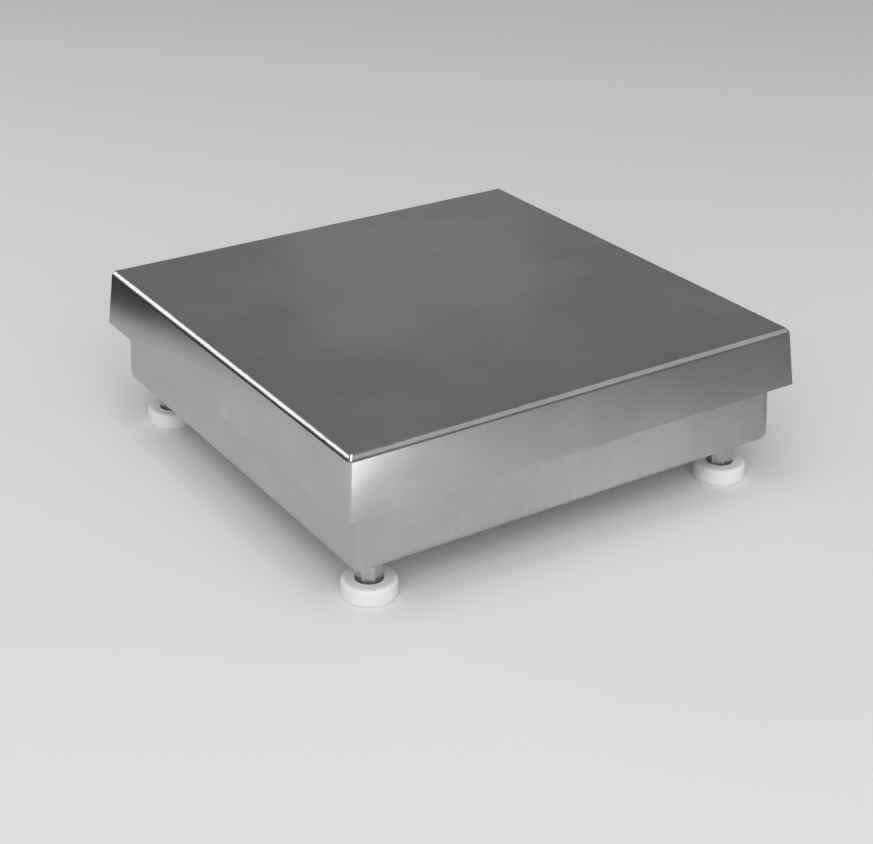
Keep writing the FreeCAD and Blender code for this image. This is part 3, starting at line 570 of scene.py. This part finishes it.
def lay_thread(shape, middle, radius, root, pitch, low, high, end_radius, steps=40):
    """A threaded rod. Its rows follow the helix, and are cut off flat at its chamfered ends."""
    profile = ((0.0, root), (0.12, root), (0.44, radius), (0.56, radius), (0.88, root))
    rows = []
    for turn_index in range(math.ceil((high - low) / pitch) + 2):
        for share, reach in profile:
            row = []
            for step in range(steps):
                angle = 2 * math.pi * step / steps
                z = low + pitch * (turn_index + share + step / steps - 1)
                z = min(max(z, low), high)
                here = min(reach, end_radius + (z - low), end_radius + (high - z))
                row.append(shape.verts.new(round_point(middle, here, angle, z)))
            rows.append(row)
    for low_row, high_row in zip(rows, rows[1:]):
        for index in range(steps - 1):
            shape.faces.new((low_row[index], low_row[index + 1], high_row[index + 1], high_row[index]))
    # Each turn's last points join the first points of the next turn.
    later = rows[len(profile):]
    for low_row, high_row, low_next, high_next in zip(rows, rows[1:], later, later[1:]):
        shape.faces.new((low_row[-1], low_next[0], high_next[0], high_row[-1]))
    shape.faces.new(rows[0])
    shape.faces.new(rows[-1])
    fresh = [vert for row in rows for vert in row]
    bmesh.ops.remove_doubles(shape, verts=fresh, dist=0.000001)


stud_low, stud_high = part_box("bumper_studs")
bumper_stud_radius = 0.00245
bumper_stud_root = 0.00200
bumper_stud_pitch = 0.0008
thread_chamfer = 0.0002
bumper_rubber = moulded(
    "bumper_rubber", (0.028, 0.028, 0.030), roughness=0.62, grain=1500, depth=0.00006,
)
dress(bumper_rubber, "platter_bumpers")
dress(fastener_steel, "bumper_nuts")
shape = bmesh.new()
for side_x, side_y in corners:
    middle = Vector((
        side_x * (stud_high.x - bumper_stud_radius), side_y * (stud_high.y - bumper_stud_radius), 0,
    ))
    lay_thread(
        shape, middle, bumper_stud_radius, bumper_stud_root, bumper_stud_pitch,
        stud_low.z, stud_high.z, bumper_stud_root - thread_chamfer, steps=24,
    )
new_piece("bumper_stud_threads", shape, fastener_steel, "deck", "stainless_fastener", "bumper_studs")


# Overload stops
# Four M8 hexagon bolts stand in weld nuts under the base rails and are locked by thin jam nuts.
# Their heads stop the deck's crossbars just before the cell would be overloaded.
def lay_hexagon(shape, middle, flats, low, high, turned, lower_cone):
    """A hexagon whose upper corners, and its lower ones if told so, are turned off to a cone."""
    corner = flats / math.sqrt(3)
    sixth = math.pi / 3
    slope = math.tan(math.radians(30))
    drop = (corner - flats / 2) * slope
    heights = [high - drop * share for share in (1.0, 0.75, 0.5, 0.25, 0.0)]
    if lower_cone:
        heights = [low + drop * share for share in (0.0, 0.25, 0.5, 0.75, 1.0)] + heights
    else:
        heights = [low] + heights
    rows = []
    for z in heights:
        cone = flats / 2 + (high - z) / slope
        if lower_cone:
            cone = min(cone, flats / 2 + (z - low) / slope)
        row = []
        for step in range(round_steps):
            angle = 2 * math.pi * step / round_steps
            from_flat = (angle + sixth / 2) % sixth - sixth / 2
            reach = min(flats / 2 / math.cos(from_flat), cone)
            row.append(round_point(middle, reach, angle + math.radians(turned) + sixth / 2, z))
        rows.append(row)
    lay_rows(shape, rows)


round_steps = 48
bolt_low, bolt_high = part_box("overload_stop_bolts")
stop_head_flats = 0.0130
stop_head_height = 0.0053
stop_thread_radius = 0.00395
stop_thread_root = 0.00335
stop_thread_pitch = 0.00125
stop_chamfer = 0.0004
join_overlap = 0.0001
stop_x = bolt_high.x - stop_head_flats / math.sqrt(3)
stop_y = bolt_high.y - stop_head_flats / 2
stop_seat = bolt_high.z - stop_head_height
shape = bmesh.new()
for side_x, side_y in corners:
    middle = Vector((side_x * stop_x, side_y * stop_y, 0))
    lay_thread(
        shape, middle, stop_thread_radius, stop_thread_root, stop_thread_pitch,
        bolt_low.z, stop_seat + join_overlap, stop_thread_root - stop_chamfer,
    )
    lay_hexagon(shape, middle, stop_head_flats, stop_seat, bolt_high.z, turned=0, lower_cone=False)
new_piece(
    "overload_stop_threads", shape, fastener_steel, "base", "stainless_fastener", "overload_stop_bolts",
    smooth=28,
)
dress(fastener_steel, "overload_stop_jam_nuts", "overload_stop_weld_nuts")


# Bubble level
# A turned aluminium cup on a folded bracket holds a clear acrylic vial of yellow-green fluid.
# Two button screws hold the bracket to the right rail.
def disc_rows(middle, sizes):
    """Closed rows round a vertical axis, by their radius and height."""
    angles = [2 * math.pi * step / round_steps for step in range(round_steps)]
    return [[round_point(middle, radius, angle, z) for angle in angles] for radius, z in sizes]


lens_low, lens_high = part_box("level_lens")
level_middle = (lens_low + lens_high) / 2
vial_wall = 0.0007
vial_roof = 0.0030
fluid_reach = (lens_high.x - lens_low.x) / 2 - vial_wall
fluid_high = lens_high.z - vial_roof
bubble_radius = 0.0024
bubble_height = 0.0009
ring_radius = 0.0034
ring_width = 0.0004
ring_thickness = 0.0001
ring_steps = 64
dress(deck_steel, "level_bracket")
dress(fastener_steel, "level_screws")
dress(turned_metal("level_cup_metal", (0.66, 0.67, 0.68), roughness=0.28), "level_cup")

paint = Paint("vial_acrylic")
scratch = paint.noise(paint.here, 900.0, 3.0)
vial_acrylic = paint.surface(
    Base_Color=paint.blend(scratch.fade(0.5, 0.8), (0.97, 0.99, 0.95), (0.86, 0.90, 0.80)),
    Roughness=0.02 + scratch * 0.05, IOR=1.49, Transmission_Weight=1.0,
)
dress(vial_acrylic, "level_lens")


def from_level(paint):
    """The distance from the level's vertical axis, as a wire."""
    return paint.gap(paint.stretch(paint.here, (1, 1, 0)), (level_middle.x, level_middle.y, 0))


paint = Paint("level_fluid")
# Here depth is the distance from the level's axis. The fluid is painted darker towards the cup's wall, as
# painted shade.
depth = from_level(paint)
level_fluid = paint.surface(
    Base_Color=paint.blend(depth.fade(0.0, fluid_reach), (0.52, 0.74, 0.07), (0.30, 0.50, 0.03)),
    Roughness=0.12 + paint.noise(paint.here, 200.0) * 0.05,
)
shape = bmesh.new()
lay_rows(shape, disc_rows(level_middle, [
    (fluid_reach - 0.0003, lens_low.z + 0.0004), (fluid_reach, lens_low.z + 0.0008),
    (fluid_reach, fluid_high - 0.0003), (fluid_reach * 0.8, fluid_high - 0.0001),
    (fluid_reach * 0.4, fluid_high),
]))
new_piece("level_fluid", shape, level_fluid, "base", "level_vial")

paint = Paint("level_bubble")
rim = from_level(paint)
# The bubble is painted light in the middle and dark at its rim: a painted highlight and painted shade.
level_bubble = paint.surface(
    Base_Color=paint.blend(rim.fade(0.0013, bubble_radius), (0.80, 0.90, 0.45), (0.20, 0.34, 0.03)),
    Roughness=0.06 + paint.noise(paint.here, 400.0) * 0.04,
)
sizes = []
for step in range(9):
    lift = math.pi / 2 * step / 9
    sizes.append((bubble_radius * math.cos(lift), fluid_high - 0.0001 + bubble_height * math.sin(lift)))
shape = bmesh.new()
lay_rows(shape, disc_rows(level_middle + Vector((0.0004, -0.0003, 0)), sizes))
new_piece("level_bubble", shape, level_bubble, "base", "level_vial")

shape = bmesh.new()
rows = []
for step in range(ring_steps):
    angle = 2 * math.pi * step / ring_steps
    outwards = Vector((math.cos(angle), math.sin(angle), 0))
    inner = Vector((level_middle.x, level_middle.y, fluid_high + 0.0002)) + outwards * ring_radius
    outer = inner + outwards * ring_width
    rows.append([inner, outer, outer + up_z * ring_thickness, inner + up_z * ring_thickness])
lay_rows(shape, rows, looped=True)
ring_ink = moulded("ring_ink", (0.015, 0.015, 0.016), roughness=0.5, grain=4000)
new_piece("level_ring", shape, ring_ink, "base", "level_vial")


# Platter
# The lift-off tray is one blank of the same sheet, brushed from side to side and folded down on
# four sides. Under it, two hat channels are spot-welded on, and four small angles locate it.
# The platter's colour is painted lighter about the middle of its top, as a painted sheen.
platter_steel = brushed_sheet(
    "platter_steel", "x", steel_tone, roughness=0.17, painted_sheen_place=(0.02, 0.04, platter_high.z),
)
dress(platter_steel, "platter")

_, hat_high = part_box("platter_stiffeners")
_, angle_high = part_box("platter_locators")
hat_half_width = 0.018
brim_middle = 0.0135
spot_pitch = 0.031
spot_radius = 0.0022
tack_start = 0.003
tack_end = 0.013


def spot_welds(paint):
    """Round tinted spots, along both brims of each hat channel."""
    x, y, _ = paint.axes(paint.here)
    over = (x.size() - (hat_high.x - hat_half_width)).size() - brim_middle
    along = ((y / spot_pitch).fraction() - 0.5) * spot_pitch
    reach = (over * over + along * along) ** 0.5
    return 1 - reach.fade(spot_radius, spot_radius * 1.8)


dress(mill_sheet("hat_steel", (0.52, 0.52, 0.525), spot_welds), "platter_stiffeners")
dress(deck_steel, "platter_locators")
shape = bmesh.new()
for side_x, side_y in corners:
    corner = Vector((side_x * angle_high.x, side_y * angle_high.y, angle_high.z))
    across, along = Vector((side_x, 0, 0)), Vector((0, side_y, 0))
    for run, sideways in ((along, across), (across, along)):
        start, end = corner - run * tack_start, corner - run * tack_end
        lay_weld(shape, start, end, sideways, -up_z, small_weld_leg, dice)
new_piece("platter_welds", shape, weld_metal, "platter", "frame_steel", smooth=70)


# Feet
# White moulded nylon pads turn on the buttoned ends of 5/16-18 stainless studs. The hexagon above
# the pad takes a half-inch spanner, and each was left at its own angle by the levelling.
paint = Paint("foot_nylon")
x, y, z = paint.axes(paint.here)
grain = paint.noise(paint.here, 1400.0, 2.0, 0.6)
cloud = paint.noise(paint.here, 120.0, 3.0)
# Painted shade along the pad's lowest edge, where it stands on the floor, broken into patches.
painted_contact_shade = (1 - z.fade(0.0, 0.0022)) * cloud.fade(0.35, 0.65)
nylon = paint.blend(cloud.fade(0.3, 0.7), (0.86, 0.87, 0.875), (0.91, 0.915, 0.92))
foot_nylon = paint.surface(
    Base_Color=paint.blend(painted_contact_shade * 0.35, nylon, (0.42, 0.41, 0.39)),
    Roughness=0.36 + cloud * 0.14, Normal=paint.bump(grain, 0.00002),
)
stud_steel = turned_metal("stud_steel", (0.56, 0.56, 0.565), roughness=0.30)
foot_thread_pitch = 0.0014111
foot_thread_radius = 0.00397
foot_thread_root = 0.00318
foot_hex_flats = 0.0127
foot_hex_length = 0.0175
foot_hex_low = 0.00305
foot_neck_radius = 0.0030
foot_button_radius = 0.0040
foot_button_top = 0.0018
foot_turns = {"front_left": 24, "front_right": 8, "rear_left": 40, "rear_right": 15}
foot_hex_high = foot_hex_low + foot_hex_length
for place, foot_turn in foot_turns.items():
    dress(foot_nylon, "foot_pad_" + place)
    stud_low, stud_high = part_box("foot_stud_" + place)
    middle = (stud_low + stud_high) / 2
    shape = bmesh.new()
    lay_rows(shape, disc_rows(middle, [
        (foot_button_radius - thread_chamfer, stud_low.z),
        (foot_button_radius, stud_low.z + thread_chamfer),
        (foot_button_radius, foot_button_top), (foot_neck_radius, foot_button_top),
        (foot_neck_radius, foot_hex_low + join_overlap),
    ]))
    lay_hexagon(shape, middle, foot_hex_flats, foot_hex_low, foot_hex_high, foot_turn, lower_cone=True)
    lay_thread(
        shape, middle, foot_thread_radius, foot_thread_root, foot_thread_pitch,
        foot_hex_high - join_overlap, stud_high.z, foot_thread_root - thread_chamfer, steps=round_steps,
    )
    new_piece(
        "stud_thread_" + place, shape, stud_steel, "foot_" + place + "_stud",
        "stainless_fastener", "foot_stud_" + place, smooth=28,
    )


# Floor and light
# A plain pale floor in a dim grey room, lit by soft panels and a low card by the front corner.
# Seen in the steel, the floor darkens behind the left side and to the front right, as a paper
# sweep does at its ends. Seen straight, it is pale all over.
room_grey = (0.240, 0.240, 0.2472, 1)
floor_reach = 14.0
floor_data = bpy.data.meshes.new("floor")
shape = bmesh.new()
bmesh.ops.create_circle(shape, cap_ends=True, segments=96, radius=floor_reach)
shape.to_mesh(floor_data)
shape.free()
floor = bpy.data.objects.new("floor", floor_data)
bpy.context.scene.collection.objects.link(floor)
paint = Paint("floor_paint")
x, y, _ = paint.axes(paint.here)
pale, dim = (0.80, 0.80, 0.80), (0.015, 0.018, 0.020)
# The rear left end is a straight edge, square to the way that runs from the middle to the rear left.
# It stops short of the front corner.
way_x, way_y = -0.917, 0.398
edge_near, edge_far = 0.362, 0.398
rear_left_end = (x * way_x + y * way_y).fade(edge_near, edge_far) * y.fade(0.05, 0.20)
front_right_end = (x - y * 0.35).fade(0.12, 0.52) * 0.64
mirrored = paint.blend(rear_left_end.larger(front_right_end), pale, dim)
in_mirrors = paint.node("LightPath", {}, {}, "Is Glossy Ray")
floor_paint = paint.surface(Base_Color=paint.blend(in_mirrors, pale, mirrored), Roughness=0.9)
floor_data.materials.append(floor_paint)
floor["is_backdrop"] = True

world = bpy.data.worlds.new("room")
bpy.context.scene.world = world
world.use_nodes = True
world.node_tree.nodes["Background"].inputs["Color"].default_value = room_grey


def panel(name, place, towards, width, height, brightness):
    """A soft panel lamp. Its brightness is what it shows in a mirror, where 1 is white."""
    lamp = bpy.data.lights.new(name, "AREA")
    lamp.shape = "RECTANGLE"
    lamp.size = width
    lamp.size_y = height
    lamp.energy = brightness * math.pi * width * height
    holder = bpy.data.objects.new(name, lamp)
    holder.location = place
    holder.rotation_euler = (Vector(towards) - Vector(place)).to_track_quat("-Z", "Y").to_euler()
    bpy.context.scene.collection.objects.link(holder)
    return holder


def from_middle(azimuth, elevation, distance):
    """A place seen from the platter's middle, by its azimuth from the rear and its elevation."""
    azimuth, elevation = math.radians(azimuth), math.radians(elevation)
    level = distance * math.cos(elevation)
    return platter_middle + Vector((
        level * math.sin(azimuth), level * math.cos(azimuth), distance * math.sin(elevation),
    ))


panel("overhead_panel", (-0.8, -0.7, 3.2), (-0.2, -0.2, 0), width=3.0, height=3.0, brightness=1.58)
panel(
    "front_panel", from_middle(-150, 33, 2.6), platter_middle, width=2.8, height=1.6, brightness=2.4,
)
panel(
    "front_right_panel", from_middle(138, 34, 2.2), platter_middle,
    width=1.8, height=1.7, brightness=0.40,
)
panel(
    "rear_left_panel", from_middle(-35, 18, 1.6), platter_middle, width=0.9, height=0.6, brightness=1.6,
)
# The platter's top mirrors a faint panel, and the front corner a card that lies near the floor.
mirrored_panel = panel(
    "mirrored_panel", from_middle(32, 18, 2.6), platter_middle, width=0.50, height=0.70, brightness=0.045,
)
mirrored_panel.visible_camera = False
corner_card = panel(
    "corner_card", (-0.041, -0.462, 0.004), (-0.041, -0.462, 1), width=0.20, height=0.12, brightness=1.6,
)
corner_card.rotation_euler = (math.pi, 0, math.radians(-46))
corner_card.visible_camera = False
bpy.context.scene.view_settings.view_transform = "Standard"

looks_low, looks_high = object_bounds()
sizes = {
    "solids": [list(solids_low), list(solids_high)],
    "looks": [list(looks_low), list(looks_high)],
}
